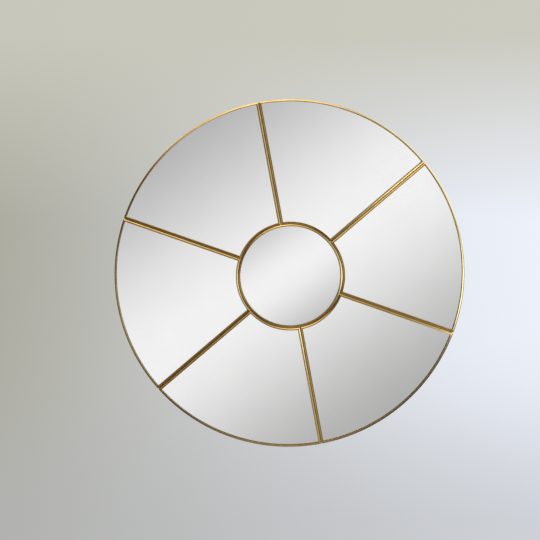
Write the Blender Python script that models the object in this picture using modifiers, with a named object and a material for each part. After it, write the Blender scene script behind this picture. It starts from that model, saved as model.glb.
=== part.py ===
# A round wall mirror made of seven framed panes: six sectors of a ring round a round
# centre. Each pane lies in a metal frame of its own and the frames stand side by side,
# so a spoke is two frame sides with a groove between them, and the inner ring is the
# centre's frame against the sectors' inner sides.
#
# Everything is modelled lying on its back, with the wall side on z = 0, the front up
# and the top of the mirror at +y. One empty then stands it up: the wall side comes to
# lie on y = 0, the front faces -Y and +Z is up. Metres.

import math

import bmesh
import bpy

# Driving dimensions
DIAMETER = 0.600
HUB_RADIUS = 0.0898  # outside of the centre's frame
FRAME_DEPTH = 0.015  # wall side to the crest of the frames
FIRST_SPOKE = math.radians(100.5)  # the mirror hangs turned, with no spoke upright
SECTORS = 6

RIM_LIP = 0.0034  # width of the front lip along the rim
SIDE_LIP = 0.0041  # along a spoke
INNER_LIP = 0.0037  # along the inner ring
HUB_LIP = 0.0037  # of the centre's own frame
LIP_SLOPE = math.radians(52)  # the lip's rounded top is this steep at its outside
LIP_RISE = 0.0019  # and rises this far to its crest, which is the edge at the pane
LIP_CORNER = 0.0004  # rounding between that top and the side wall
LIP_EDGE = 0.0017  # thickness of the edge at the pane
FRAME_WALL = 0.0012  # sheet of the frame's side wall
CORNER_RADIUS = 0.0020  # outside corners of a sector frame
SHARPEST_CORNER = 0.0004  # the inner outlines keep at least this radius

PANE_THICKNESS = 0.003
CROWN = 0.0020  # rise of the centre pane's gently domed glass
GAP = 0.0003  # between neighbours

PLATE_WIDTH = 0.046  # keyhole plate that the mirror hangs on
PLATE_HEIGHT = 0.028
PLATE_THICKNESS = 0.0012
PLATE_CORNER = 0.004
PLATE_PLACE = 0.245  # above the mirror's centre
KEYHOLE_RADIUS = 0.005  # the wall screw's head goes in here
KEYHOLE_DROP = 0.004  # that hole's centre below the plate's centre
SLOT_RADIUS = 0.0025
SLOT_RISE = 0.0055  # centre of the slot's upper end above the plate's centre
POCKET_DEPTH = 0.0078
POCKET_RADIUS = 0.006

SCREW_SPREAD = 0.016  # each fixing screw from the plate's middle
SCREW_HEAD = 0.0033
SCREW_SHANK = 0.0017
SCREW_SINK = 0.0001  # the heads lie just below the plate's face
SCREW_CONE = 0.0018
SCREW_LENGTH = 0.0084
SCREW_POINT = 0.0016

RIM_STEPS = 16  # flats along a sector's rim
INNER_STEPS = 8
CORNER_STEPS = 3
LIP_STEPS = 3
HUB_STEPS = 64
CROWN_STEPS = 5
KEYHOLE_STEPS = 18
SCREW_STEPS = 16

# Heights above the wall that follow from these
UNDER_LIP = FRAME_DEPTH - LIP_EDGE
PANE_FRONT = UNDER_LIP - GAP
PANE_BACK = PANE_FRONT - PANE_THICKNESS
BACKING_THICKNESS = PANE_BACK - GAP
PANE_INSET = FRAME_WALL + GAP  # panes and backing fit inside the side walls
PANE_MARGINS = (PANE_INSET, PANE_INSET, PANE_INSET)

SECTOR_ANGLE = 2 * math.pi / SECTORS


def clear_scene():
    for item in list(bpy.data.objects):
        bpy.data.objects.remove(item, do_unlink=True)


def new_collection(name):
    collection = bpy.data.collections.new(name)
    bpy.context.scene.collection.children.link(collection)
    return collection


def new_material(name, color, roughness, metallic):
    material = bpy.data.materials.new(name)
    material.use_nodes = True
    shader = material.node_tree.nodes["Principled BSDF"]
    shader.inputs["Base Color"].default_value = (*color, 1)
    shader.inputs["Roughness"].default_value = roughness
    shader.inputs["Metallic"].default_value = metallic
    material.diffuse_color = (*color, 1)
    return material


def add_object(name, data, collection, parent, material=None):
    """Wraps a mesh or curve in an object; a mesh shared with others keeps its material."""
    made = bpy.data.objects.new(name, data)
    collection.objects.link(made)
    made.parent = parent
    if material and not data.materials:
        data.materials.append(material)
    return made


def as_cutter(cutter):
    cutter.hide_render = True
    cutter.display_type = "WIRE"
    return cutter


def cut(target, cutter):
    boolean = target.modifiers.new(cutter.name, "BOOLEAN")
    boolean.operation = "DIFFERENCE"
    boolean.object = cutter
    boolean.solver = "EXACT"


def smooth(mesh):
    mesh.shade_smooth()
    mesh.set_sharp_from_angle(angle=math.radians(50))


def arc(center, radius, start, end, steps):
    """Points along an arc from one angle to another, both ends included."""
    angles = [start + (end - start) * i / steps for i in range(steps + 1)]
    return [
        (center[0] + radius * math.cos(a), center[1] + radius * math.sin(a))
        for a in angles
    ]


def circle(radius, steps):
    return arc((0, 0), radius, 0, 2 * math.pi * (steps - 1) / steps, steps - 1)


def sector_outline(rim_inset, side_inset, inner_inset):
    """A sector's outline, centred on +x, drawn in from the frame's outside by three
    margins: along the rim, along both sides and along the inner arc.

    Each corner is an arc tangent to its side and to the rim or inner circle, so its
    centre is one corner radius from both.
    """
    half = SECTOR_ANGLE / 2
    corner = max(CORNER_RADIUS - side_inset, SHARPEST_CORNER)
    rim = DIAMETER / 2 - rim_inset
    inner = HUB_RADIUS + GAP + inner_inset
    off_spoke = GAP / 2 + side_inset + corner
    centers = []
    for reach in (rim - corner, inner + corner):
        along = math.sqrt(reach**2 - off_spoke**2)
        centers.append(
            (
                along * math.cos(half) + off_spoke * math.sin(half),
                along * math.sin(half) - off_spoke * math.cos(half),
            )
        )
    rim_end, inner_end = (math.atan2(y, x) for x, y in centers)
    outward = half + math.pi / 2
    upper = arc((0, 0), rim, 0, rim_end, RIM_STEPS // 2)
    upper += arc(centers[0], corner, rim_end, outward, CORNER_STEPS)[1:]
    upper += arc(centers[1], corner, outward, inner_end + math.pi, CORNER_STEPS)
    upper += arc((0, 0), inner, inner_end, 0, INNER_STEPS // 2)[1:]
    lower = [(x, -y) for x, y in reversed(upper[1:-1])]
    return upper + lower


def frame_section():
    """The frame's cross-section as (share of the lip's width, inset, height), from the
    outside over the lip's rounded top to its edge, under it and down the wall.

    The top is an arc whose slope falls evenly to nothing at the edge.
    """
    steepest = LIP_SLOPE
    start = FRAME_DEPTH - LIP_RISE
    corner_inset = LIP_CORNER * (1 - math.sin(steepest))
    section = [(0, 0, start - LIP_CORNER * math.cos(steepest))]
    for i in range(LIP_STEPS + 1):
        slope = steepest * (1 - i / LIP_STEPS)
        share = 1 - math.sin(slope) / math.sin(steepest)
        fall = LIP_RISE * (1 - math.cos(slope)) / (1 - math.cos(steepest))
        section.append((share, corner_inset * (1 - share), FRAME_DEPTH - fall))
    section.append((1, 0, UNDER_LIP))
    section.append((0, FRAME_WALL, UNDER_LIP))
    section.append((0, FRAME_WALL, 0))
    section.append((0, 0, 0))
    return section


def sector_frame_mesh():
    """Lofts the cross-section round a sector: each of its points is a whole outline."""
    shape = bmesh.new()
    rings = []
    for share, inset, height in frame_section():
        margins = [share * lip + inset for lip in (RIM_LIP, SIDE_LIP, INNER_LIP)]
        outline = sector_outline(*margins)
        rings.append([shape.verts.new((x, y, height)) for x, y in outline])
    around = len(rings[0])
    for ring, following in zip(rings, rings[1:] + rings[:1]):
        for i in range(around):
            j = (i + 1) % around
            shape.faces.new((ring[i], ring[j], following[j], following[i]))
    bmesh.ops.recalc_face_normals(shape, faces=shape.faces)
    mesh = bpy.data.meshes.new("sector frame")
    shape.to_mesh(mesh)
    shape.free()
    smooth(mesh)
    return mesh


def plate_mesh(name, outlines, bottom, top):
    """A flat plate between two heights. Outlines after the first are its holes."""
    curve = bpy.data.curves.new(name, "CURVE")
    curve.dimensions = "2D"
    curve.fill_mode = "BOTH"
    curve.extrude = (top - bottom) / 2
    for outline in outlines:
        spline = curve.splines.new("POLY")
        spline.points.add(len(outline) - 1)
        for point, (x, y) in zip(spline.points, outline):
            point.co = (x, y, 0, 1)
        spline.use_cyclic_u = True
    holder = bpy.data.objects.new(name, curve)
    bpy.context.scene.collection.objects.link(holder)
    evaluated = holder.evaluated_get(bpy.context.evaluated_depsgraph_get())
    mesh = bpy.data.meshes.new_from_object(evaluated)
    bpy.data.objects.remove(holder, do_unlink=True)
    bpy.data.curves.remove(curve)
    shape = bmesh.new()
    shape.from_mesh(mesh)
    bmesh.ops.remove_doubles(shape, verts=shape.verts, dist=1e-6)
    bmesh.ops.translate(shape, verts=shape.verts, vec=(0, 0, (top + bottom) / 2))
    bmesh.ops.recalc_face_normals(shape, faces=shape.faces)
    shape.to_mesh(mesh)
    shape.free()
    mesh.name = name
    return mesh


def turned(name, profile, steps, closed, collection, parent, material=None):
    """Turns a profile of (radius, height) points about the local z axis."""
    mesh = bpy.data.meshes.new(name)
    count = len(profile)
    edges = [(i, i + 1) for i in range(count - 1)]
    if closed:
        edges.append((count - 1, 0))
    mesh.from_pydata([(radius, 0, height) for radius, height in profile], edges, [])
    made = add_object(name, mesh, collection, parent, material)
    screw = made.modifiers.new("turn", "SCREW")
    screw.axis = "Z"
    screw.steps = steps
    screw.render_steps = steps
    screw.use_merge_vertices = True
    screw.merge_threshold = 1e-5
    screw.use_smooth_shade = True
    return made


def hub_profile():
    """Section of the centre's frame, run down its outer side."""
    return [
        (HUB_RADIUS - share * HUB_LIP - inset, height)
        for share, inset, height in reversed(frame_section())
    ]


def crowned_profile():
    """Section of the centre pane from the middle of its front to that of its back.

    Front and back are the same shallow sphere, one glass thickness apart.
    """
    edge = HUB_RADIUS - PANE_INSET
    ball = (edge**2 + CROWN**2) / (2 * CROWN)
    radii = [edge * i / CROWN_STEPS for i in range(CROWN_STEPS + 1)]
    rises = [math.sqrt(ball**2 - r**2) - (ball - CROWN) for r in radii]
    front = [(r, PANE_FRONT + rise) for r, rise in zip(radii, rises)]
    back = [(r, height - PANE_THICKNESS) for r, height in reversed(front)]
    return front + back


def screw_profile(grow):
    """A countersunk screw with its head to the wall, grown all round for a cutter."""
    cone_end = SCREW_SINK + SCREW_CONE
    head = SCREW_HEAD + grow
    shank = SCREW_SHANK + grow
    face = SCREW_SINK - grow
    return [
        (0, SCREW_LENGTH + grow),
        (shank, SCREW_LENGTH - SCREW_POINT + grow),
        (shank, cone_end),
        (head, SCREW_SINK),
        (head, face),
        (0, face),
    ]


def rounded_rectangle(width, height, corner):
    points = []
    for turn in range(4):
        start = turn * math.pi / 2
        side_x = 1 if turn in (0, 3) else -1
        side_y = 1 if turn in (0, 1) else -1
        center = (side_x * (width / 2 - corner), side_y * (height / 2 - corner))
        points += arc(center, corner, start, start + math.pi / 2, CORNER_STEPS)
    return points


def keyhole_outline():
    """A round hole with a narrower slot rising from it."""
    meet = math.asin(SLOT_RADIUS / KEYHOLE_RADIUS)
    start = math.pi / 2 + meet
    end = start + 2 * (math.pi - meet)
    hole = arc((0, -KEYHOLE_DROP), KEYHOLE_RADIUS, start, end, KEYHOLE_STEPS)
    slot = arc((0, SLOT_RISE), SLOT_RADIUS, 0, math.pi, KEYHOLE_STEPS // 3)
    return hole + slot


def pocket_outline():
    """Room behind the plate for the head of the wall screw to rise in."""
    upper = arc((0, SLOT_RISE), POCKET_RADIUS, 0, math.pi, KEYHOLE_STEPS // 2)
    lower = arc((0, -KEYHOLE_DROP), POCKET_RADIUS, math.pi, 2 * math.pi, KEYHOLE_STEPS // 2)
    return upper + lower


def make_sectors(parts, upright, brass, mirror, board):
    """Six frames, panes and backing boards, numbered clockwise from the top right."""
    pane_outline = sector_outline(*PANE_MARGINS)
    pane_mesh = plate_mesh("sector mirror", [pane_outline], PANE_BACK, PANE_FRONT)
    board_mesh = plate_mesh("sector backing", [pane_outline], 0, BACKING_THICKNESS)
    frame_mesh = sector_frame_mesh()
    kinds = (
        ("sector_frame", frame_mesh, brass),
        ("sector_mirror", pane_mesh, mirror),
        ("sector_backing", board_mesh, board),
    )
    for sector in range(SECTORS):
        middle = FIRST_SPOKE - SECTOR_ANGLE * (sector + 0.5)
        for kind, mesh, material in kinds:
            made = add_object(f"{kind}_{sector + 1}", mesh, parts, upright, material)
            made.rotation_euler = (0, 0, middle)


def make_center(parts, upright, brass, mirror, board):
    turned("centre_frame", hub_profile(), HUB_STEPS, True, parts, upright, brass)
    turned("centre_mirror", crowned_profile(), HUB_STEPS, False, parts, upright, mirror)
    outline = circle(HUB_RADIUS - PANE_INSET, HUB_STEPS)
    backing = plate_mesh("centre backing", [outline], 0, BACKING_THICKNESS)
    add_object("centre_backing", backing, parts, upright, board)


def make_hanger(parts, cutters, upright, steel):
    """The keyhole plate, its two screws and what they need cut out of the backing."""
    outer = rounded_rectangle(PLATE_WIDTH, PLATE_HEIGHT, PLATE_CORNER)
    mesh = plate_mesh("hanging plate", [outer, keyhole_outline()], 0, PLATE_THICKNESS)
    plate = add_object("hanging_plate", mesh, parts, upright, steel)
    plate.location = (0, PLATE_PLACE, 0)

    backing = bpy.data.objects["sector_backing_1"]
    backing.data = backing.data.copy()
    recess_outline = rounded_rectangle(
        PLATE_WIDTH + 2 * GAP, PLATE_HEIGHT + 2 * GAP, PLATE_CORNER + GAP
    )
    below = -BACKING_THICKNESS / 2  # cutters start this far behind the wall side
    recess_depth = PLATE_THICKNESS + GAP
    for name, outline, depth in (
        ("plate recess", recess_outline, recess_depth),
        ("screw head pocket", pocket_outline(), POCKET_DEPTH),
    ):
        hollow = plate_mesh(name, [outline], below, depth)
        cutter = as_cutter(add_object(name, hollow, cutters, upright))
        cutter.location = plate.location
        cut(backing, cutter)

    for side, name in ((-1, "right"), (1, "left")):
        # seen from the front, the back's right-hand screw lies on the left
        place = (side * SCREW_SPREAD, PLATE_PLACE, 0)
        screw = turned(
            f"hanging_screw_{name}", screw_profile(0), SCREW_STEPS, False, parts, upright, steel
        )
        screw.location = place
        hole = turned(
            f"hole for screw {name}", screw_profile(GAP), SCREW_STEPS, False, cutters, upright
        )
        hole.location = place
        as_cutter(hole)
        cut(plate, hole)
        cut(backing, hole)


def main():
    clear_scene()
    parts = new_collection("round wall mirror")
    cutters = new_collection("cutters")
    upright = bpy.data.objects.new("upright", None)
    parts.objects.link(upright)
    upright.rotation_euler = (math.pi / 2, 0, 0)

    brass = new_material("antique brass", (0.52, 0.37, 0.15), 0.34, 1)
    mirror = new_material("silvered glass", (0.90, 0.91, 0.91), 0.02, 1)
    board = new_material("fibreboard", (0.36, 0.25, 0.15), 0.85, 0)
    steel = new_material("zinc plated steel", (0.66, 0.66, 0.68), 0.38, 1)

    make_sectors(parts, upright, brass, mirror, board)
    make_center(parts, upright, brass, mirror, board)
    make_hanger(parts, cutters, upright, steel)


main()
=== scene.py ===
# Round wall mirror of seven framed panes, dressed round its solid model.
# The back lies on y = 0, the front faces -Y and +Z is up. Metres.
import math

import bmesh
import bpy
import numpy as np
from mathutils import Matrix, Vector


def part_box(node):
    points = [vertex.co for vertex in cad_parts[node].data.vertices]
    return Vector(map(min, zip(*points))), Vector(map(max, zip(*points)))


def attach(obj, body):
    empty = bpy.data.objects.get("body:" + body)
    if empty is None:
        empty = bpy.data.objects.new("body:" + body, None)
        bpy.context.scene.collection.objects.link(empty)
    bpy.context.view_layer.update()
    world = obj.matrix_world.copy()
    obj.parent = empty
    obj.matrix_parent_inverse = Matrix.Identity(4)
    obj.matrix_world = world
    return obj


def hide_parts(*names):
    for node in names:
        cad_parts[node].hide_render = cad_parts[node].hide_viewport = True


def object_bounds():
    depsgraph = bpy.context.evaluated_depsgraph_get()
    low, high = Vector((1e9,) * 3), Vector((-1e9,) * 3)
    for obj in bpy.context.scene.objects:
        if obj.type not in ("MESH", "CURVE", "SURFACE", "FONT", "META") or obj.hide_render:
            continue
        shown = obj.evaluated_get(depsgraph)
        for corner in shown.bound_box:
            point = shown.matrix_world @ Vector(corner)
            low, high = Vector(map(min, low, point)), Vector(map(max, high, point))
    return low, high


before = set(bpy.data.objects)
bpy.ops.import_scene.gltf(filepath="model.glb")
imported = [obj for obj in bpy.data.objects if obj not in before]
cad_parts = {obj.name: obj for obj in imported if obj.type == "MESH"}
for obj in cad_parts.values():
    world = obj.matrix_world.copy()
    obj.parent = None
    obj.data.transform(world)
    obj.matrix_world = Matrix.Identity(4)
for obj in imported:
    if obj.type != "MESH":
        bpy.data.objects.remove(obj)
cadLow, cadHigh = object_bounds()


# Small helpers

# sRGB hex to linear light: v/12.92 up to 0.04045, above that ((v + 0.055)/1.055) to the power 2.4.
def toLinear(hexCode, strength=1.0):
    channels = [int(hexCode[place:place + 2], 16) / 255 for place in (1, 3, 5)]
    linear = [v / 12.92 if v <= 0.04045 else ((v + 0.055) / 1.055) ** 2.4 for v in channels]
    return (*(strength * v for v in linear), 1.0)


# Adds a node. Settings name its own properties or its sockets, links say what feeds its sockets.
def addNode(tree, kind, settings=None, links=None):
    node = tree.nodes.new(kind)
    for key, value in (settings or {}).items():
        if isinstance(key, str) and hasattr(node, key):
            setattr(node, key, value)
        else:
            node.inputs[key].default_value = value
    for socket, source in (links or {}).items():
        tree.links.new(source, node.inputs[socket])
    return node


# An empty material with its Principled shader on the output, and its Object coordinates.
def newMaterial(name, settings):
    material = bpy.data.materials.new(name)
    material.use_nodes = True
    tree = material.node_tree
    tree.nodes.clear()
    shader = addNode(tree, "ShaderNodeBsdfPrincipled", settings)
    addNode(tree, "ShaderNodeOutputMaterial", {}, {"Surface": shader.outputs["BSDF"]})
    coordinates = addNode(tree, "ShaderNodeTexCoord")
    return material, tree, shader, coordinates


# Noise whose blotches or grains have a real size in metres; stretch makes them longer along each axis.
def grain(tree, source, size, detail=3.0, stretch=(1, 1, 1)):
    place = addNode(
        tree, "ShaderNodeMapping", {"Scale": [1 / (size * s) for s in stretch]}, {"Vector": source},
    )
    settings = {"Scale": 1.0, "Detail": detail}
    return addNode(tree, "ShaderNodeTexNoise", settings, {"Vector": place.outputs[0]}).outputs["Fac"]


# Takes a value from one range to another and keeps it inside the second.
def ranged(tree, source, low, high, newLow=0.0, newHigh=1.0, curve="LINEAR"):
    settings = {
        "interpolation_type": curve,
        "From Min": low, "From Max": high, "To Min": newLow, "To Max": newHigh,
    }
    return addNode(tree, "ShaderNodeMapRange", settings, {"Value": source}).outputs["Result"]


# One sum; each side of it is a number or a socket.
def sumOf(tree, operation, first, second=0.0, clamp=False):
    node = addNode(tree, "ShaderNodeMath", {"operation": operation, "use_clamp": clamp})
    for socket, value in ((0, first), (1, second)):
        if isinstance(value, (int, float)):
            node.inputs[socket].default_value = value
        else:
            tree.links.new(value, node.inputs[socket])
    return node.outputs[0]


# Blends two colours by a factor; each is a linear colour or a socket.
def blended(tree, factor, first, second):
    node = addNode(tree, "ShaderNodeMix", {"data_type": "RGBA"}, {0: factor})
    for socket, colour in ((6, first), (7, second)):
        if isinstance(colour, tuple):
            node.inputs[socket].default_value = colour
        else:
            tree.links.new(colour, node.inputs[socket])
    return node.outputs[2]


# Corner numbers of the quads between the rows and columns of a grid, which may close on itself.
def gridFaces(rows, columns, closedRows=False, closedColumns=False):
    i, j = np.meshgrid(
        np.arange(rows if closedRows else rows - 1),
        np.arange(columns if closedColumns else columns - 1),
        indexing="ij",
    )
    below, right = (i + 1) % rows, (j + 1) % columns
    quads = (i * columns + j, i * columns + right, below * columns + right, below * columns + j)
    return np.stack(quads, axis=-1).reshape(-1, 4)


# Triangles from one point, the pole, to each pair of points that two rows of numbers name.
def fanFaces(pole, first, second):
    return np.stack((np.full(len(first), pole), first, second), axis=-1)


# Makes a closed mesh object from points, sets of faces and a UV pair for each face corner.
# Where the volume they enclose is negative, all faces are turned round. The volume is the sum of
# p0 . (p1 x p2) / 6 over the triangles.
def makePiece(name, points, faceSets, uvSets, materials, facings=None, sharpAngle=32):
    volume = sum(
        np.einsum("ij,ij->", points[f[:, 0]], np.cross(points[f[:, k]], points[f[:, k + 1]]))
        for f in faceSets for k in range(1, f.shape[1] - 1)
    )
    if volume < 0:
        faceSets = [f[:, ::-1] for f in faceSets]
        uvSets = [uv[:, ::-1] for uv in uvSets]
    mesh = bpy.data.meshes.new(name)
    mesh.from_pydata(points.tolist(), [], [face for f in faceSets for face in f.tolist()])
    layer = mesh.uv_layers.new(name="metres")
    layer.data.foreach_set("uv", np.concatenate([uv.reshape(-1, 2) for uv in uvSets]).ravel())
    for material in materials:
        mesh.materials.append(material)
    if facings:
        indices = np.concatenate([np.full(len(f), k) for f, k in zip(faceSets, facings)])
        mesh.polygons.foreach_set("material_index", indices)
    mesh.shade_smooth()
    mesh.set_sharp_from_angle(angle=math.radians(sharpAngle))
    piece = bpy.data.objects.new(name, mesh)
    bpy.context.scene.collection.objects.link(piece)
    return piece


# Lying on its back the mirror has x to the right, y to its top and a height above that back.
# Upright, that height runs towards -Y.
def upright(x, y, height):
    return np.stack(np.broadcast_arrays(x, -height, y), axis=-1)


def turned(x, y, angle):
    return x * math.cos(angle) - y * math.sin(angle), x * math.sin(angle) + y * math.cos(angle)


# Points of an arc round a centre from one angle to another. The centre, radius and angles may be
# columns of an array, one for each row of a grid.
def arcPoints(centerX, centerY, radius, start, end, steps):
    angle = start + (end - start) * np.linspace(0, 1, steps + 1)
    return np.stack((centerX + radius * np.cos(angle), centerY + radius * np.sin(angle)), axis=-1)


# Main sizes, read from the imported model

paneLow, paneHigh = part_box("sector_mirror_1")
hubLow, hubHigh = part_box("centre_frame")
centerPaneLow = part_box("centre_mirror")[0]
plateLow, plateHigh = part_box("hanging_plate")

mirror = {
    "rimRadius": (cadHigh.z - cadLow.z) / 2,
    "hubRadius": (hubHigh.x - hubLow.x) / 2,
    "depth": -cadLow.y,
    "paneFront": -paneLow.y,
    "paneBack": -paneHigh.y,
    "crown": paneLow.y - centerPaneLow.y,   # rise of the gently domed centre pane
    "firstSpoke": math.radians(100.5),   # 90 and the 10.5 degrees by which the mirror hangs turned
    "sectors": 6,
    "gap": 0.0003,          # between neighbouring frames, and round each pane
    "frameWall": 0.0012,    # sheet of the frame's side wall
}
sectorAngle = 2 * math.pi / mirror["sectors"]
paneInset = mirror["frameWall"] + mirror["gap"]


# Middle of a sector, counted clockwise from the first spoke.
def sectorMiddle(sector):
    return mirror["firstSpoke"] - sectorAngle * (sector + 0.5)


# Materials of the front

# Antique brass, electroplated on steel strip and lacquered: a pale yellow gold where it is rubbed,
# with a real brown patina in soft blotches, and painted shade in that brown along the edge at the pane.
brassFinish = {
    "rubbed": "#DEBD71",
    "plated": "#D4B269",
    # brown of the real patina, also painted along the edge at the pane as shade
    "patinaAndShade": "#8E6E3B",
    "blotch": 0.025,          # patches of uneven patina
    "speckle": 0.006,
    "strokeLength": 0.030,    # of the brush, along the strip
    "strokeWidth": 0.0005,    # coarser than the real 0.1 mm, to show at all
    "paneEdgeShadeWidth": 0.0010,    # how far the painted shade reaches from the edge at the pane
    "paneEdgeShadeShare": 0.2,        # share of the patina brown painted there as shade
    "blotchPatina": 0.2,      # and in the strongest blotches
    "blotchRange": (0.42, 0.72),
    "speckRange": (0.3, 0.7),
    "strokeRange": (0.2, 0.8),
    "noiseDetail": 2.0,
    "roughness": (0.27, 0.33),
    "shadeAndPatinaRoughness": 0.12,  # added where the painted shade and the patina lie
    "lacquer": 0.8,
    "lacquerRoughness": 0.22,
    "bump": 0.00002,
    "bumpStrength": 0.05,
}


def antiqueBrass():
    finish = brassFinish
    detail = finish["noiseDetail"]
    material, tree, shader, coordinates = newMaterial("antiqueBrassPlate", {
        "Metallic": 1.0, "Coat Weight": finish["lacquer"], "Coat Roughness": finish["lacquerRoughness"],
    })
    place = coordinates.outputs["Object"]
    across = addNode(tree, "ShaderNodeSeparateXYZ", {}, {0: coordinates.outputs["UV"]}).outputs["Y"]
    # Painted shade: the patina brown laid along the edge at the pane, where the lip meets the glass.
    paneEdgeShade = ranged(
        tree, across, -finish["paneEdgeShadeWidth"], 0.0, 0.0, finish["paneEdgeShadeShare"], "SMOOTHSTEP",
    )
    blotches = ranged(
        tree, grain(tree, place, finish["blotch"], detail), *finish["blotchRange"],
        0.0, finish["blotchPatina"],
    )
    specks = grain(tree, place, finish["speckle"], detail)
    length = finish["strokeLength"] / finish["strokeWidth"]
    strokes = grain(tree, coordinates.outputs["UV"], finish["strokeWidth"], detail, (length, 1, 1))
    metal = blended(
        tree, ranged(tree, strokes, *finish["strokeRange"]),
        toLinear(finish["plated"]), toLinear(finish["rubbed"]),
    )
    # Painted shade at the pane's edge and real patina in blotches, both in the patina brown.
    shadeAndPatina = sumOf(tree, "ADD", paneEdgeShade, blotches, clamp=True)
    colour = blended(tree, shadeAndPatina, metal, toLinear(finish["patinaAndShade"]))
    tree.links.new(colour, shader.inputs["Base Color"])
    rough = sumOf(
        tree, "ADD", ranged(tree, specks, *finish["speckRange"], *finish["roughness"]),
        sumOf(tree, "MULTIPLY", shadeAndPatina, finish["shadeAndPatinaRoughness"]),
    )
    tree.links.new(rough, shader.inputs["Roughness"])
    relief = {"Strength": finish["bumpStrength"], "Distance": finish["bump"]}
    bump = addNode(tree, "ShaderNodeBump", relief, {"Height": strokes})
    tree.links.new(bump.outputs[0], shader.inputs["Normal"])
    return material


# Clear float glass, fire polished: a hard clean surface that only shows by its own faint reflection.
glassFinish = {
    "tint": "#FEFEFE",
    "ior": 1.52,
}


def floatGlass():
    return newMaterial("clearFloatGlass", {
        "Base Color": toLinear(glassFinish["tint"]), "Transmission Weight": 1.0,
        "Roughness": 0.0, "IOR": glassFinish["ior"],
    })[0]


# Silver deposited on the back of the glass: a cool bright metal with hardly any colour of its own,
# and cloudy patches so faint that they only take the last sharpness from a reflection.
silverFinish = {
    "silver": "#F7F7F7",
    "cloudy": "#F5F5F5",
    "patch": 0.045,
    "patchDetail": 5.0,
    "patchRange": (0.35, 0.7),
    "haze": 0.004,        # roughness in the cloudy patches
}


def depositedSilver():
    finish = silverFinish
    material, tree, shader, coordinates = newMaterial("depositedSilver", {"Metallic": 1.0})
    clouds = grain(tree, coordinates.outputs["Object"], finish["patch"], finish["patchDetail"])
    patches = ranged(tree, clouds, *finish["patchRange"])
    colour = blended(tree, patches, toLinear(finish["silver"]), toLinear(finish["cloudy"]))
    tree.links.new(colour, shader.inputs["Base Color"])
    tree.links.new(ranged(tree, patches, 0.0, 1.0, 0.0, finish["haze"]), shader.inputs["Roughness"])
    return material


# Frames

brassFrame = {
    "rimLip": 0.0034,       # width of the front lip along the rim
    "sideLip": 0.0041,      # along a spoke
    "innerLip": 0.0037,     # along the inner ring
    "hubLip": 0.0037,       # of the centre's own frame
    "ringCloser": 0.0001,   # each side of the ring's joint stands this much nearer to the other
    "lipSlope": math.radians(52),   # the lip's rounded top is this steep at its outside
    "lipRise": 0.0019,      # and rises this far to its crest, which is the edge at the pane
    "lipCorner": 0.0002,    # rounding between that top and the side wall
    "lipEdge": 0.0017,      # thickness of the edge at the pane
    "edgeRound": 0.0003,    # its front corner is eased by this much
    "sheetEdge": 0.00022,   # rounding of the sheet's other edges
    "fold": 0.0005,         # inside rounding where the lip meets the side wall
    "corner": 0.0020,       # outside corners of a sector frame
    "sharpest": 0.0004,
    "twist": 0.024,         # the strip leans this much to and fro along its length, as a slope
    "twistLengths": (0.290, 0.117, 0.061),
    "twistStart": 0.4,      # where its waves start on the first sector, as an angle
    "twistStep": 1.7,       # and how much later on each next one
    "hubTwistStart": 0.9,
    "leanFrom": 0.8,        # share of the depth above which the strip leans
    "leanOver": 0.1,        # share of the depth over which that sets in
    "topSteps": 12,
    "edgeSteps": 3,
    "cornerSteps": 6,
    "rimSteps": 120,
    "sideSteps": 60,
    "innerSteps": 40,
    "hubSteps": 256,
}


# The strip's cross-section as rows of (share of the lip's width, inset, height above the back).
# From the back it runs up the outside, round the corner and over the lip's rounded top to the edge
# at the pane, under the lip and down the inside. The top is an arc whose slope t falls evenly to
# nothing: share = 1 - sin t / sin lipSlope, fall = lipRise * (1 - cos t) / (1 - cos lipSlope).
def stripSection():
    f = brassFrame
    edge, fold, wall, ease = f["sheetEdge"], f["fold"], mirror["frameWall"], f["edgeRound"]
    crest, under = mirror["depth"], mirror["depth"] - f["lipEdge"]
    steepest, turn = f["lipSlope"], f["lipCorner"]
    bend = np.linspace(0, math.pi / 2, f["edgeSteps"] + 1)
    none, one = np.zeros_like(bend), np.ones_like(bend)
    cornerBend = np.linspace(math.pi / 2, steepest, f["edgeSteps"] + 1)[:-1]
    cornerMiddle = crest - f["lipRise"] - turn * math.cos(steepest)
    slope = np.linspace(steepest, 0, f["topSteps"] + 1)[:-1]
    share = 1 - np.sin(slope) / math.sin(steepest)
    fall = f["lipRise"] * (1 - np.cos(slope)) / (1 - math.cos(steepest))
    rows = [
        (none, edge * (1 - np.sin(bend)), edge * (1 - np.cos(bend))),
        (0 * cornerBend, turn * (1 - np.sin(cornerBend)), cornerMiddle + turn * np.cos(cornerBend)),
        (share, turn * (1 - math.sin(steepest)) * (1 - share), crest - fall),
        (one, ease * (np.sin(bend) - 1), crest - ease * (1 - np.cos(bend))),
        (one, edge * (np.cos(bend) - 1), under + edge * (1 - np.sin(bend))),
        (none, wall + fold * (1 - np.sin(bend)), under - fold * (1 - np.cos(bend))),
        (none, wall - edge * (1 - np.cos(bend)), edge * (1 - np.sin(bend))),
    ]
    return np.concatenate([np.stack(row, axis=-1) for row in rows])


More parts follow.
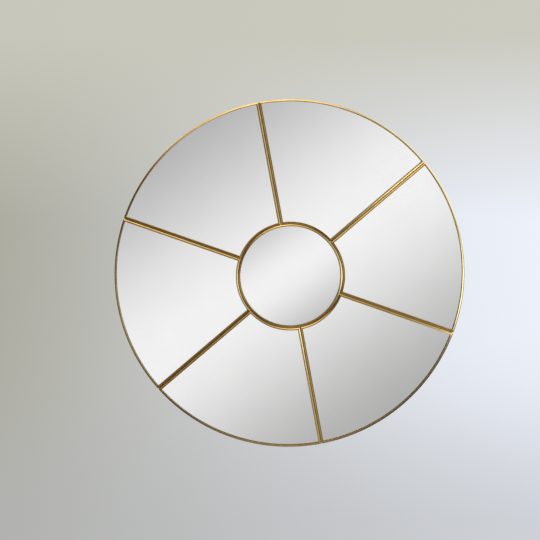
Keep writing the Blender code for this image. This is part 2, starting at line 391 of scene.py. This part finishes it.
# A sector's outline centred on +x, one row for each point of the cross-section, drawn in from the
# frame's outside by that row's margins along rim, sides and inner arc. A corner is an arc tangent
# to its side and to the rim or inner circle, so its centre lies one corner radius from both.
def sectorOutline(rimInset, sideInset, innerInset, values):
    half = sectorAngle / 2
    corner = np.maximum(values["corner"] - sideInset, values["sharpest"])[:, None]
    rim = mirror["rimRadius"] - rimInset[:, None]
    inner = mirror["hubRadius"] + mirror["gap"] - values["ringCloser"] + innerInset[:, None]
    offSpoke = mirror["gap"] / 2 + sideInset[:, None] + corner
    rimEnd = half - np.arcsin(offSpoke / (rim - corner))
    innerEnd = half - np.arcsin(offSpoke / (inner + corner))
    outerX, outerY = (rim - corner) * np.cos(rimEnd), (rim - corner) * np.sin(rimEnd)
    innerX, innerY = (inner + corner) * np.cos(innerEnd), (inner + corner) * np.sin(innerEnd)
    outward = half + math.pi / 2
    steps = values["cornerSteps"]
    rimArc = arcPoints(0, 0, rim, 0, rimEnd, values["rimSteps"] // 2)
    outerCorner = arcPoints(outerX, outerY, corner, rimEnd, outward, steps)
    innerCorner = arcPoints(innerX, innerY, corner, outward, innerEnd + math.pi, steps)
    innerArc = arcPoints(0, 0, inner, innerEnd, 0, values["innerSteps"] // 2)
    share = np.linspace(0, 1, values["sideSteps"] + 1)[1:-1, None]
    side = outerCorner[:, -1:] * (1 - share) + innerCorner[:, :1] * share
    upper = np.concatenate((rimArc, outerCorner[:, 1:], side, innerCorner, innerArc[:, 1:]), axis=1)
    lower = upper[:, -2:0:-1] * (1, -1)
    return np.concatenate((upper, lower), axis=1)


# Lean of the strip along its length: a sum of slow waves, each with its own start.
def twistAlong(length, start):
    waves = brassFrame["twistLengths"]
    lean = sum(np.sin(2 * math.pi * length / wave + start * (k + 1)) for k, wave in enumerate(waves))
    return brassFrame["twist"] * lean / len(waves)


# Lofts the cross-section along its outline: rows are points of the section and columns places along
# the outline. UV is the distance along the strip and round its section, in metres, and the second of
# them is nothing where the lip's top ends at the pane.
def lofted(name, x, y, section, lipWidth, start, material):
    length = np.hypot(np.diff(x, append=x[:, :1]), np.diff(y, append=y[:, :1])).mean(axis=0)
    along = np.concatenate(((0,), np.cumsum(length)))
    share, height = section[:, 0], section[:, 2]
    f, depth = brassFrame, mirror["depth"]
    front = np.clip((height - f["leanFrom"] * depth) / (f["leanOver"] * depth), 0, 1)
    lean = (share - 0.5)[:, None] * twistAlong(along[:-1], start) - 0.5 * f["twist"]
    lean = lean * lipWidth * front[:, None]
    points = upright(x, y, height[:, None] + lean)
    width = np.hypot(np.diff(share * lipWidth + section[:, 1], append=0), np.diff(height, append=0))
    around = np.concatenate(((0,), np.cumsum(width)))
    around = around - around[np.argmax(share == 1)]
    rows, columns = x.shape
    u, v = np.meshgrid(along, around)
    uv = np.stack((u, v), axis=-1).reshape(-1, 2)
    faces = gridFaces(rows, columns, True, True)
    corners = gridFaces(rows + 1, columns + 1)
    return makePiece(name, points.reshape(-1, 3), [faces], [uv[corners]], [material])


def makeFrames(material):
    f = brassFrame
    section = stripSection()
    share, inset = section[:, 0], section[:, 1]
    margins = [share * f[lip] + inset for lip in ("rimLip", "sideLip", "innerLip")]
    outline = sectorOutline(*margins, f)
    for sector in range(mirror["sectors"]):
        x, y = turned(outline[..., 0], outline[..., 1], sectorMiddle(sector))
        name = f"brass_frame_{sector + 1}"
        start = f["twistStep"] * sector + f["twistStart"]
        piece = lofted(name, x, y, section, f["sideLip"], start, material)
        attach(piece, "root")
        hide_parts(f"sector_frame_{sector + 1}")
    angle = np.linspace(0, 2 * math.pi, f["hubSteps"], endpoint=False)
    radius = (mirror["hubRadius"] + f["ringCloser"] - share * f["hubLip"] - inset)[:, None]
    x, y = radius * np.cos(angle), radius * np.sin(angle)
    piece = lofted("brass_ring", x, y, section, f["hubLip"], f["hubTwistStart"], material)
    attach(piece, "root")
    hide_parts("centre_frame")
    print("frames:", len(section), "points round the strip,", outline.shape[1], "along a sector")


# Panes

glassPane = {
    "sectorRows": 12,
    "sectorColumns": 96,
    "discRings": 40,
    "discSteps": 192,
}


# Joins a front and a back grid by a strip along their common edge. The edge runs the way the front
# faces go round.
def slab(name, front, back, faces, edge, glass, silver):
    count, following = len(front), np.roll(edge, -1)
    points = np.concatenate((front, back))
    behind = [f[:, ::-1] + count for f in faces]
    sides = np.stack((following, edge, edge + count, following + count), axis=-1)
    faceSets = faces + [sides] + behind
    flat = points[:, (0, 2)]
    facings = [0] * (len(faces) + 1) + [1] * len(behind)
    return makePiece(name, points, faceSets, [flat[f] for f in faceSets], [glass, silver], facings)


# A sector pane is a polar grid: at radius r it spans half the sector less asin(offset / r).
def makeSectorPanes(glass, silver):
    g = glassPane
    rows, columns = g["sectorRows"], g["sectorColumns"]
    offset = mirror["gap"] / 2 + paneInset
    inner = mirror["hubRadius"] + mirror["gap"] + paneInset
    radius = np.linspace(inner, mirror["rimRadius"] - paneInset, rows)[:, None]
    span = sectorAngle / 2 - np.arcsin(offset / radius)
    faces = gridFaces(rows, columns)
    grid = np.arange(rows * columns).reshape(rows, columns)
    edge = np.concatenate((grid[0, :-1], grid[:-1, -1], grid[-1, :0:-1], grid[:0:-1, 0]))
    for sector in range(mirror["sectors"]):
        angle = sectorMiddle(sector) + span * np.linspace(-1, 1, columns)
        x, y = (radius * np.cos(angle)).ravel(), (radius * np.sin(angle)).ravel()
        front = upright(x, y, mirror["paneFront"])
        back = upright(x, y, mirror["paneBack"])
        piece = slab(f"glass_pane_{sector + 1}", front, back, [faces], edge, glass, silver)
        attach(piece, "root")
        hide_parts(f"sector_mirror_{sector + 1}")


# The centre pane is a disc whose front and back are the same shallow sphere, one glass thickness
# apart: rise = sqrt(ball^2 - r^2) - (ball - crown).
def makeCenterPane(glass, silver):
    g = glassPane
    rings, steps = g["discRings"], g["discSteps"]
    outer = mirror["hubRadius"] - paneInset
    crown = mirror["crown"]
    ball = (outer ** 2 + crown ** 2) / (2 * crown)
    radius = np.concatenate(((0,), np.repeat(np.linspace(outer / rings, outer, rings), steps)))
    angle = np.concatenate(((0,), np.tile(np.linspace(0, 2 * math.pi, steps, endpoint=False), rings)))
    x, y = radius * np.cos(angle), radius * np.sin(angle)
    rise = np.sqrt(ball ** 2 - radius ** 2) - (ball - crown)
    quads = gridFaces(rings, steps, False, True) + 1
    first = np.arange(steps) + 1
    fan = fanFaces(0, np.roll(first, -1), first)
    edge = (first + (rings - 1) * steps)[::-1]
    front = upright(x, y, mirror["paneFront"] + rise)
    back = upright(x, y, mirror["paneBack"] + rise)
    piece = slab("glass_disc", front, back, [quads, fan], edge, glass, silver)
    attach(piece, "root")
    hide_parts("centre_mirror")


# Back

# Medium density fibreboard, sawn and left raw: a matt light brown felt of fine pale and dark fibres.
boardFinish = {
    "base": "#A98A66",
    "dark": "#8A6C4C",
    "pale": "#C4A985",
    "fleck": "#6B4F36",
    "fibre": 0.0035,        # length of a fibre bundle
    "fibreWidth": 0.0007,
    "cloud": 0.030,
    "cloudDetail": 4.0,
    "cloudRange": (0.3, 0.7),
    "fibreDetail": 3.0,
    "paleRange": (0.52, 0.70),
    "fleckWidth": 0.0014,
    "fleckDetail": 1.0,
    "fleckRange": (0.66, 0.76),
    "fleckShare": 0.8,
    "roughness": 0.86,
    "gloss": 0.3,
    "bump": 0.00008,
    "bumpStrength": 0.6,
}


def rawFibreboard():
    finish = boardFinish
    material, tree, shader, coordinates = newMaterial("rawFibreboard", {
        "Roughness": finish["roughness"], "Specular IOR Level": finish["gloss"],
    })
    place = coordinates.outputs["Object"]
    clouds = grain(tree, place, finish["cloud"], finish["cloudDetail"])
    clouds = ranged(tree, clouds, *finish["cloudRange"])
    width, detail = finish["fibreWidth"], finish["fibreDetail"]
    length = finish["fibre"] / width
    across = grain(tree, place, width, detail, (length, 1, 1))
    upward = grain(tree, place, width, detail, (1, 1, length))
    felt = sumOf(tree, "MAXIMUM", across, upward)
    colour = blended(tree, clouds, toLinear(finish["base"]), toLinear(finish["dark"]))
    pale = ranged(tree, felt, *finish["paleRange"])
    colour = blended(tree, pale, colour, toLinear(finish["pale"]))
    flecks = grain(tree, place, finish["fleckWidth"], finish["fleckDetail"])
    flecks = ranged(tree, flecks, *finish["fleckRange"], 0.0, finish["fleckShare"])
    colour = blended(tree, flecks, colour, toLinear(finish["fleck"]))
    tree.links.new(colour, shader.inputs["Base Color"])
    relief = {"Strength": finish["bumpStrength"], "Distance": finish["bump"]}
    bump = addNode(tree, "ShaderNodeBump", relief, {"Height": felt})
    tree.links.new(bump.outputs[0], shader.inputs["Normal"])
    return material


# Zinc plated steel, pressed: cool grey with the faint cloudy spangle of the plating.
zincFinish = {
    "bright": "#D3D5D8",
    "dull": "#9EA2A8",
    "spangle": 0.0035,
    "spangleRange": (0.1, 0.7),
    "scratch": 0.0004,        # width of a fine scratch from the press
    "scratchLength": 20,      # in widths
    "scratchDetail": 2.0,
    "scratchRange": (0.35, 0.65),
    "roughness": (0.28, 0.46),
}


def zincPlate():
    finish = zincFinish
    material, tree, shader, coordinates = newMaterial("zincPlatedSteel", {"Metallic": 1.0})
    place = coordinates.outputs["Object"]
    cells = addNode(
        tree, "ShaderNodeTexVoronoi", {"Scale": 1 / finish["spangle"]}, {"Vector": place},
    ).outputs["Distance"]
    stretch = (finish["scratchLength"], 1, 1)
    scratches = grain(tree, place, finish["scratch"], finish["scratchDetail"], stretch)
    dullness = ranged(tree, cells, *finish["spangleRange"])
    colour = blended(tree, dullness, toLinear(finish["bright"]), toLinear(finish["dull"]))
    tree.links.new(colour, shader.inputs["Base Color"])
    rough = ranged(tree, scratches, *finish["scratchRange"], *finish["roughness"])
    tree.links.new(rough, shader.inputs["Roughness"])
    return material


backScrew = {
    "headRadius": 0.0033,
    "shankRadius": 0.0017,
    "sink": 0.0001,         # below the plate's face
    "cone": 0.0018,
    "length": 0.0084,
    "point": 0.0016,
    "spread": 0.016,        # from the plate's middle
    "crossReach": 0.0019,   # arms of the cross recess
    "crossWidth": 0.0009,
    "crossDepth": 0.0011,
    "crossEase": 0.00012,   # the recess's walls lean over this width
    "headEdge": 0.0002,     # thickness of the head's edge
    "threadClear": 0.0006,  # plain shank under the cone
    "threadDepth": 0.00022,
    "threadPitch": 0.0011,
    "headRings": 26,
    "threadRows": 40,
    "pointRows": 8,
    "steps": 96,
}


# A countersunk screw is a profile turned about its own axis: the flat head, its cone, the shank and
# the point. Left and right are as seen from behind. The thread is a ripple of the shank: its radius
# falls by threadDepth * (1 - cos(2 pi height / threadPitch - angle)) / 2. The cross is pressed into
# the head's face: depth = crossDepth wherever either arm is nearer than half its width, eased at
# the edges.
def makeScrews(material):
    s = backScrew
    centerY = (plateLow.z + plateHigh.z) / 2
    steps, rings = s["steps"], s["headRings"]
    angle = np.linspace(0, 2 * math.pi, steps, endpoint=False)
    head = np.linspace(s["headRadius"] / rings, s["headRadius"], rings)
    coneEnd = s["sink"] + s["cone"]
    threadStart, threadEnd = coneEnd + s["threadClear"], s["length"] - s["point"]
    thread = np.linspace(threadStart, threadEnd, s["threadRows"])
    tip = np.linspace(threadEnd, s["length"], s["pointRows"])[1:-1]
    body = np.concatenate((
        [(s["headRadius"], s["sink"] + s["headEdge"]), (s["shankRadius"], coneEnd)],
        np.stack((np.full(len(thread), s["shankRadius"]), thread), axis=-1),
        np.stack((s["shankRadius"] * (s["length"] - tip) / s["point"], tip), axis=-1),
    ))
    radius = np.concatenate((head, body[:, 0]))[:, None]
    height = np.concatenate((np.full(rings, s["sink"]), body[:, 1]))[:, None]
    threaded = (height > threadStart) & (height < threadEnd)
    wave = 0.5 - 0.5 * np.cos(2 * math.pi * height / s["threadPitch"] - angle)
    radius = radius - threaded * s["threadDepth"] * wave
    x, y = radius * np.cos(angle), radius * np.sin(angle)
    arm = np.minimum(np.abs(x), np.abs(y))
    inArm = np.clip((s["crossWidth"] / 2 - arm) / s["crossEase"], 0, 1)
    inReach = np.clip((s["crossReach"] - np.hypot(x, y)) / s["crossEase"], 0, 1)
    onHead = np.arange(len(radius))[:, None] < rings
    pressed = height + onHead * s["crossDepth"] * inArm * inReach
    middle = np.array([[0, 0, s["sink"] + s["crossDepth"]], [0, 0, s["length"]]])
    last = 1 + len(radius) * steps
    first = np.arange(steps) + 1
    end = first + (len(radius) - 1) * steps
    quads = gridFaces(len(radius), steps, False, True) + 1
    fans = [fanFaces(0, np.roll(first, -1), first), fanFaces(last, end, np.roll(end, -1))]
    for side, name in ((-1, "right"), (1, "left")):
        ring = np.stack(np.broadcast_arrays(x, y, pressed), axis=-1).reshape(-1, 3)
        flat = np.concatenate((middle[:1], ring, middle[1:]))
        points = upright(flat[:, 0] + side * s["spread"], flat[:, 1] + centerY, flat[:, 2])
        faceSets = [quads] + fans
        uv = points[:, (0, 2)]
        piece = makePiece(f"plate_screw_{name}", points, faceSets, [uv[f] for f in faceSets], [material])
        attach(piece, "root")
        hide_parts(f"hanging_screw_{name}")


keyholePlate = {
    "weld": 1e-6,                      # corners nearer than this are one
    "flat": math.radians(2),           # faces that meet at less become one
    "pressedEdge": 0.00025,
    "edgeSegments": 2,
    "edgeAngle": math.radians(40),     # only edges sharper than this are rounded
}


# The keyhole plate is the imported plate's own shape with its pressed edges rounded.
def makePlate(material):
    p = keyholePlate
    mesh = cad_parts["hanging_plate"].data.copy()
    mesh.name = "keyhole_plate"
    shape = bmesh.new()
    shape.from_mesh(mesh)
    bmesh.ops.remove_doubles(shape, verts=shape.verts, dist=p["weld"])
    bmesh.ops.dissolve_limit(shape, angle_limit=p["flat"], verts=shape.verts, edges=shape.edges)
    shape.to_mesh(mesh)
    shape.free()
    mesh.materials.clear()
    mesh.materials.append(material)
    piece = bpy.data.objects.new("keyhole_plate", mesh)
    bpy.context.scene.collection.objects.link(piece)
    bevel = piece.modifiers.new("pressed edges", "BEVEL")
    bevel.width = p["pressedEdge"]
    bevel.segments = p["edgeSegments"]
    bevel.limit_method = "ANGLE"
    bevel.angle_limit = p["edgeAngle"]
    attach(piece, "root")
    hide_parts("hanging_plate")


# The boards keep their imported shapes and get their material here.
def makeBack():
    board = rawFibreboard()
    for name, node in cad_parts.items():
        if "backing" in name:
            node.data.materials.clear()
            node.data.materials.append(board)
    zinc = zincPlate()
    makePlate(zinc)
    makeScrews(zinc)
    print("back: boards, keyhole plate and its screws")


# Studio

# The camera, fitted to the mirror's outline, its ring and its spokes.
eye = {
    "place": (-0.1061, -1.8477, 0.2350),
    "forward": (0.0383, 0.9919, -0.1210),
    "lens": 72.1,
    "sensor": 36.0,
}


def makeCamera():
    camera = bpy.data.cameras.new("eye")
    camera.lens = eye["lens"]
    camera.sensor_width = eye["sensor"]
    holder = bpy.data.objects.new("eye", camera)
    holder.location = eye["place"]
    holder.rotation_euler = Vector(eye["forward"]).to_track_quat("-Z", "Y").to_euler()
    bpy.context.scene.collection.objects.link(holder)
    bpy.context.scene.camera = holder


studio = {
    "floor": -1.25,
    "ceiling": 5.0,
    "backdropRadius": 5.6,
    "coveRadius": 1.6,
    "poleRadius": 0.4,
    "flatRings": 11,
    "coveRings": 24,
    "steps": 160,
}


# A floor that curves up into a round backdrop and is closed above: a profile turned about the z
# axis, whose two coves are quarter circles.
def makeStage():
    s = studio
    cove, flatEnd, steps = s["coveRadius"], s["backdropRadius"] - s["coveRadius"], s["steps"]
    bend = np.linspace(0, math.pi / 2, s["coveRings"])
    floor = np.linspace(s["poleRadius"], flatEnd, s["flatRings"] + 1)[:-1]
    level = np.ones(s["flatRings"])
    curve = flatEnd + cove * np.sin(bend)
    radius = np.concatenate((floor, curve, curve[::-1], floor[::-1]))[:, None]
    height = np.concatenate((
        s["floor"] * level, s["floor"] + cove * (1 - np.cos(bend)),
        s["ceiling"] - cove * (1 - np.sin(bend)), s["ceiling"] * level,
    ))[:, None]
    angle = np.linspace(0, 2 * math.pi, steps, endpoint=False)
    x, y = radius * np.cos(angle), radius * np.sin(angle)
    ring = np.stack(np.broadcast_arrays(x, y, height), axis=-1).reshape(-1, 3)
    points = np.concatenate(([(0, 0, s["floor"])], ring, [(0, 0, s["ceiling"])]))
    first = np.arange(steps) + 1
    end = first + (len(radius) - 1) * steps
    faces = [
        gridFaces(len(radius), steps, False, True) + 1,
        fanFaces(0, np.roll(first, -1), first),
        fanFaces(len(points) - 1, end, np.roll(end, -1)),
    ]
    flat = [points[f][..., :2] for f in faces]
    piece = makePiece("studio_cove", points, faces, flat, [paintedLight()])
    piece.visible_glossy = False
    piece.visible_shadow = False


backdropLight = {
    "band": math.radians(-55),     # the bright band falls off in this direction across the panes
    "bandShift": 0.07,             # in pane radii, from the mirror's centre to the upper left
    "bandWidth": 0.75,
    "bandLow": 0.34,
    "bandHigh": 0.52,
    "paneRadius": 0.2954,
    "glassPasses": 0.87,           # share of the light that comes back from a pane
    "nearest": 0.05,               # keeps the division away from nothing behind the mirror
    "left": "#A9A89B",
    "right": "#EDF1FB",
    "leftToRight": (-2.2, 2.2),    # the places where a blend starts and ends, along x
    "above": "#C9C8BC",
    "lowToHigh": (-0.3, 0.9),      # along z
    "aboveShare": 0.95,
    "below": "#A6A8AA",
    "farToNear": (4.6, 2.2),       # along y
    "belowShare": 0.4,
    "frontToBack": (-1.5, 1.2),    # along y
}


# The cove glows by itself. In front of the mirror it carries a soft diagonal band of light, which the
# panes show; behind the mirror it is plain and pale, a little darker at the left. The band is
# bandLow + bandHigh * exp(-(d / bandWidth)^2), d being the distance from its middle where the line
# from the mirrored eye crosses the mirror's plane, in pane radii.
def paintedLight():
    s = backdropLight
    material = bpy.data.materials.new("softLight")
    material.use_nodes = True
    material.cycles.emission_sampling = "NONE"
    tree = material.node_tree
    tree.nodes.clear()
    place = addNode(tree, "ShaderNodeTexCoord").outputs["Object"]
    mirroredEye = (eye["place"][0], -eye["place"][1], eye["place"][2])   # as the panes show it
    fromEye = addNode(
        tree, "ShaderNodeVectorMath", {"operation": "SUBTRACT", 1: mirroredEye}, {0: place},
    ).outputs[0]
    parts = addNode(tree, "ShaderNodeSeparateXYZ", {}, {0: fromEye})
    depths = sumOf(tree, "MULTIPLY", parts.outputs["Y"], -1 / mirroredEye[1])
    depths = sumOf(tree, "MAXIMUM", depths, s["nearest"])
    shift = s["bandShift"]
    for axis, middle, share in (("X", mirroredEye[0], math.cos(s["band"])),
                                ("Z", mirroredEye[2], math.sin(s["band"]))):
        crossing = sumOf(tree, "DIVIDE", parts.outputs[axis], depths)
        crossing = sumOf(tree, "ADD", crossing, middle)
        shift = sumOf(tree, "ADD", sumOf(tree, "MULTIPLY", crossing, share / s["paneRadius"]), shift)
    offBand = sumOf(tree, "DIVIDE", shift, s["bandWidth"])
    fall = sumOf(tree, "MULTIPLY", sumOf(tree, "MULTIPLY", offBand, offBand), -1.0)
    bell = sumOf(tree, "EXPONENT", fall)
    band = sumOf(tree, "MULTIPLY", bell, s["bandHigh"] / s["glassPasses"])
    front = sumOf(tree, "ADD", band, s["bandLow"] / s["glassPasses"])
    whole = addNode(tree, "ShaderNodeSeparateXYZ", {}, {0: place})
    side = ranged(tree, whole.outputs["X"], *s["leftToRight"], 0, 1, "SMOOTHSTEP")
    back = blended(tree, side, toLinear(s["left"]), toLinear(s["right"]))
    raised = ranged(tree, whole.outputs["Z"], *s["lowToHigh"], 0, s["aboveShare"])
    back = blended(tree, raised, back, toLinear(s["above"]))
    low = ranged(tree, whole.outputs["Y"], *s["farToNear"], 0, s["belowShare"])
    back = blended(tree, low, back, toLinear(s["below"]))
    behind = ranged(tree, whole.outputs["Y"], *s["frontToBack"], 0, 1, "SMOOTHSTEP")
    colour = blended(tree, behind, front, back)
    glow = addNode(tree, "ShaderNodeEmission", {}, {"Color": colour})
    addNode(tree, "ShaderNodeOutputMaterial", {}, {"Surface": glow.outputs[0]})
    return material


# What the brass mirrors: soft light cards in dim surroundings, each a round patch of light. Its place
# is an angle away from straight in front of the mirror and a turn about that line, from the right
# anticlockwise, in degrees. Only glossy rays see them; eye, glass and matt surfaces see the cove.
lightCards = {
    "surroundings": "#3A2C1C",
    "cards": [
        {"away": 8, "turn": 293, "reach": 12, "soft": 8, "colour": "#FFFFFF", "glow": 0.38},
        {"away": 25, "turn": 300, "reach": 13, "soft": 18, "colour": "#FFF2E0", "glow": 0.22},
        {"away": 34, "turn": 337, "reach": 13, "soft": 10, "colour": "#E0E8FF", "glow": 0.5},
        {"away": 50, "turn": 67, "reach": 16, "soft": 22, "colour": "#FFF4E0", "glow": 0.5},
        {"away": 50, "turn": 112, "reach": 16, "soft": 22, "colour": "#FFF4DC", "glow": 1.9},
        {"away": 50, "turn": 202, "reach": 16, "soft": 22, "colour": "#FAFAF4", "glow": 0.7},
        {"away": 62, "turn": 22, "reach": 20, "soft": 20, "colour": "#E6F2FF", "glow": 0.95},
        {"away": 66, "turn": 350, "reach": 18, "soft": 16, "colour": "#DEE8FF", "glow": 0.7},
        {"away": 78, "turn": 86, "reach": 20, "soft": 24, "colour": "#FFFAEE", "glow": 2.4},
        {"away": 75, "turn": 270, "reach": 17, "soft": 24, "colour": "#FFEFD2", "glow": 0.7},
        {"away": 102, "turn": 28, "reach": 26, "soft": 26, "colour": "#D8F2FF", "glow": 2.4},
        {"away": 102, "turn": 118, "reach": 18, "soft": 26, "colour": "#FFF8EA", "glow": 1.2},
        {"away": 150, "turn": 60, "reach": 30, "soft": 40, "colour": "#F6F8FF", "glow": 0.7},
    ],
}


def makeCards():
    world = bpy.data.worlds.new("lightCards")
    bpy.context.scene.world = world
    world.use_nodes = True
    tree = world.node_tree
    tree.nodes.clear()
    toward = addNode(tree, "ShaderNodeTexCoord").outputs["Generated"]
    total = None
    for card in lightCards["cards"]:
        away, turn = math.radians(card["away"]), math.radians(card["turn"])
        aim = (math.sin(away) * math.cos(turn), -math.cos(away), math.sin(away) * math.sin(turn))
        facing = addNode(
            tree, "ShaderNodeVectorMath", {"operation": "DOT_PRODUCT", 1: aim}, {0: toward},
        ).outputs["Value"]
        outer = math.cos(math.radians(card["reach"] + card["soft"] / 2))
        inner = math.cos(math.radians(max(card["reach"] - card["soft"] / 2, 0)))
        patch = ranged(tree, facing, outer, inner, 0.0, 1.0, "SMOOTHSTEP")
        light = addNode(
            tree, "ShaderNodeVectorMath",
            {"operation": "SCALE", 0: toLinear(card["colour"], card["glow"])[:3]}, {"Scale": patch},
        ).outputs[0]
        total = light if total is None else addNode(
            tree, "ShaderNodeVectorMath", {"operation": "ADD"}, {0: total, 1: light},
        ).outputs[0]
    total = addNode(
        tree, "ShaderNodeVectorMath",
        {"operation": "ADD", 1: toLinear(lightCards["surroundings"])[:3]}, {0: total},
    ).outputs[0]
    glow = addNode(tree, "ShaderNodeBackground", {}, {"Color": total})
    addNode(tree, "ShaderNodeOutputWorld", {}, {"Surface": glow.outputs[0]})
    world.cycles_visibility.camera = False
    world.cycles_visibility.diffuse = False
    world.cycles_visibility.transmission = False


# Two lamps: one behind, so that boards and plate show their relief, and a small one close by at the
# right, which the frames' right ends catch more than their inner ends.
lamps = {
    "backLamp": {
        "place": (-1.6, 2.2, 1.7), "aim": (0, 0, 0), "size": 1.0, "power": 22, "colour": "#FFFAF2",
    },
    "nearLamp": {
        "place": (0.45, -0.20, -0.06), "aim": (0.26, 0, 0), "size": 0.22, "power": 0.55,
        "colour": "#D4E8FF",
    },
}


def makeLamps():
    for name, values in lamps.items():
        lamp = bpy.data.lights.new(name, "AREA")
        lamp.shape = "DISK"
        lamp.size = values["size"]
        lamp.energy = values["power"]
        lamp.color = toLinear(values["colour"])[:3]
        holder = bpy.data.objects.new(name, lamp)
        holder.location = values["place"]
        ray = Vector(values["aim"]) - Vector(values["place"])
        holder.rotation_euler = ray.to_track_quat("-Z", "Y").to_euler()
        holder.visible_camera = False
        holder.visible_transmission = False
        bpy.context.scene.collection.objects.link(holder)


# The whole picture

brass = antiqueBrass()
glass = floatGlass()
silver = depositedSilver()
makeFrames(brass)
makeSectorPanes(glass, silver)
makeCenterPane(glass, silver)
print("panes: silvered glass, the centre one domed")
makeBack()
makeStage()
makeCards()
makeLamps()
makeCamera()
bpy.context.scene.view_settings.view_transform = "Standard"
print("studio, light and camera are ready")
